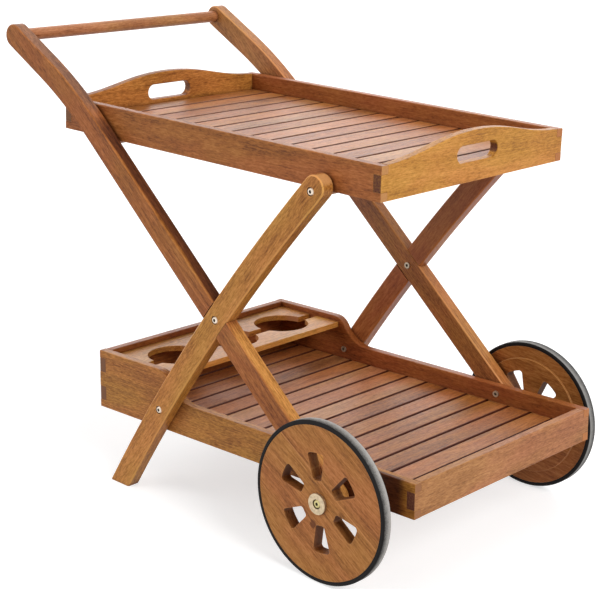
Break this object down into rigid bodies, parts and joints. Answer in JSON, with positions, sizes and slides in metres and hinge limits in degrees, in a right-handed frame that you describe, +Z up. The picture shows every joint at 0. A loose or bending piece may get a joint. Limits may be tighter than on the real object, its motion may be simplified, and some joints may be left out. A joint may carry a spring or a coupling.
{
  "type": "tea trolley",
  "caption": "Wooden tea trolley on crossed legs: a slatted lift-off tray with hand slots over a slatted shelf with a bottle rack, a round push handle and large wheels.",
  "frame": {"origin": "on the floor, under the middle of the overall length and width", "axes": "+X along the length, from the push handle to the wheels; +Y across; +Z up"},
  "size_m": [0.9206, 0.5604, 0.7559],
  "materials": {
    "tray_board_wood": "oiled, satin",
    "tray_floor_wood": "oiled, satin",
    "shelf_board_wood": "oiled, satin",
    "shelf_floor_wood": "oiled, satin",
    "leg_wood": "oiled, satin",
    "bar_wood": "oiled, satin",
    "wheel_wood": "oiled, satin",
    "tyre_rubber": "matt black rubber",
    "bush_steel": "plain steel",
    "brass_hardware": "brass-coloured plating"
  },
  "bodies": {
    "frame": {"axle_bolts": "brass_hardware", "bottle_rack_front_board": "shelf_board_wood", "bottle_rack_rear_board": "shelf_board_wood", "crossing_bolts": "brass_hardware", "front_leg_far": "leg_wood", "front_leg_near": "leg_wood", "handle_bar": "bar_wood", "handle_leg_far": "leg_wood", "handle_leg_near": "leg_wood", "hub_washers": "brass_hardware", "rest_bar_bolts": "brass_hardware", "shelf_bolts": "shelf_board_wood", "shelf_end_board_handle": "shelf_board_wood", "shelf_end_board_wheel": "shelf_board_wood", "shelf_side_board_far": "shelf_board_wood", "shelf_side_board_near": "shelf_board_wood", "shelf_slat_01": "shelf_floor_wood", "shelf_slat_02": "shelf_floor_wood", "shelf_slat_03": "shelf_floor_wood", "shelf_slat_04": "shelf_floor_wood", "shelf_slat_05": "shelf_floor_wood", "shelf_slat_06": "shelf_floor_wood", "shelf_slat_07": "shelf_floor_wood", "shelf_slat_08": "shelf_floor_wood", "shelf_slat_09": "shelf_floor_wood", "shelf_slat_10": "shelf_floor_wood", "shelf_slat_11": "shelf_floor_wood", "shelf_slat_12": "shelf_floor_wood", "shelf_slat_13": "shelf_floor_wood", "shelf_slat_14": "shelf_floor_wood", "shelf_slat_15": "shelf_floor_wood", "sleeve_nuts": "brass_hardware", "tray_rest_bar_front": "bar_wood", "tray_rest_bar_rear": "bar_wood"},
    "tray": {"tray_end_board_handle": "tray_board_wood", "tray_end_board_wheel": "tray_board_wood", "tray_side_board_far": "tray_board_wood", "tray_side_board_near": "tray_board_wood", "tray_slat_01": "tray_floor_wood", "tray_slat_02": "tray_floor_wood", "tray_slat_03": "tray_floor_wood", "tray_slat_04": "tray_floor_wood", "tray_slat_05": "tray_floor_wood", "tray_slat_06": "tray_floor_wood", "tray_slat_07": "tray_floor_wood", "tray_slat_08": "tray_floor_wood", "tray_slat_09": "tray_floor_wood", "tray_slat_10": "tray_floor_wood", "tray_slat_11": "tray_floor_wood", "tray_slat_12": "tray_floor_wood", "tray_slat_13": "tray_floor_wood", "tray_slat_14": "tray_floor_wood", "tray_slat_15": "tray_floor_wood"},
    "wheel_near": {"tyre_near": "tyre_rubber", "wheel_bush_near": "bush_steel", "wheel_disc_near": "wheel_wood"},
    "wheel_far": {"tyre_far": "tyre_rubber", "wheel_bush_far": "bush_steel", "wheel_disc_far": "wheel_wood"}
  },
  "joints": [
    {"name": "tray_lift", "type": "slide", "parent": "frame", "child": "tray", "axis": [0, 0, 1], "range_m": [0, 0.18]},
    {"name": "wheel_near_spin", "type": "hinge", "parent": "frame", "child": "wheel_near", "pos_m": [0.31666, -0.2658, 0.128], "axis": [0, 1, 0], "continuous": true},
    {"name": "wheel_far_spin", "type": "hinge", "parent": "frame", "child": "wheel_far", "pos_m": [0.31666, 0.2658, 0.128], "axis": [0, 1, 0], "continuous": true}
  ]
}
